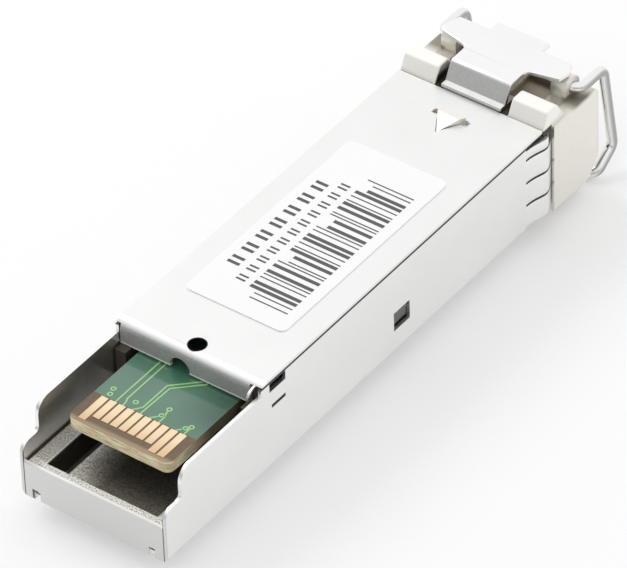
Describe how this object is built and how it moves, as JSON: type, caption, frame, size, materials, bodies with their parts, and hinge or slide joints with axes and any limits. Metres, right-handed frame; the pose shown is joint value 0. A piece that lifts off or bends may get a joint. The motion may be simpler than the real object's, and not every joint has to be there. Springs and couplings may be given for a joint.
{
  "type": "sfp transceiver",
  "caption": "Pluggable duplex optical transceiver module with card edge, folded metal shell, cast nose and swinging wire bail latch.",
  "frame": {"origin": "centre of the shell's flat bottom face, halfway along the body from its rear end to the stop", "axes": "+Y towards the nose, +Z towards the label face, +X across"},
  "size_m": [0.0142, 0.0578, 0.0119],
  "materials": {
    "casting": "nickel-plated zinc casting, satin",
    "sheet_metal": "bright nickel-plated sheet",
    "label": "smooth white label",
    "insert": "moulded plastic",
    "board": "green solder mask on glass laminate",
    "gold": "gold plated",
    "pad": "soft silicone",
    "slide_sheet": "bright nickel-plated sheet",
    "wire": "drawn stainless wire",
    "capacitor": "fired ceramic",
    "chip": "moulded epoxy",
    "barrel": "turned stainless",
    "ceramic": "ground zirconia"
  },
  "bodies": {
    "module": {"housing": "casting", "shell": "sheet_metal", "cover": "sheet_metal", "label": "label", "port_insert": "insert", "circuit_board": "board", "contact_pads_upper": "gold", "contact_pads_lower": "gold", "controller_chip": "chip", "laser_driver_chip": "chip", "receiver_amplifier_chip": "chip", "memory_chip": "chip", "chip_capacitors": "capacitor", "chip_resistors": "chip", "ferrite_beads": "chip", "thermal_pad": "pad", "optics_clamp": "insert", "transmit_barrel": "barrel", "transmit_header": "barrel", "transmit_sleeve": "ceramic", "transmit_leads": "gold", "receive_barrel": "barrel", "receive_header": "barrel", "receive_sleeve": "ceramic", "receive_leads": "gold"},
    "slide": {"release_slide": "slide_sheet"},
    "bail": {"bail": "wire"}
  },
  "joints": [
    {"name": "bail_swing", "type": "hinge", "parent": "module", "child": "bail", "pos_m": [0, 0.0291, 0.00895], "axis": [1, 0, 0], "range_deg": [0, 90]},
    {"name": "slide_travel", "type": "slide", "parent": "module", "child": "slide", "axis": [0, -1, 0], "range_m": [0, 0.0017]}
  ],
  "couplings": [
    {"joint": "slide_travel", "follows": "bail_swing", "m_per_rad": 0.00108}
  ]
}
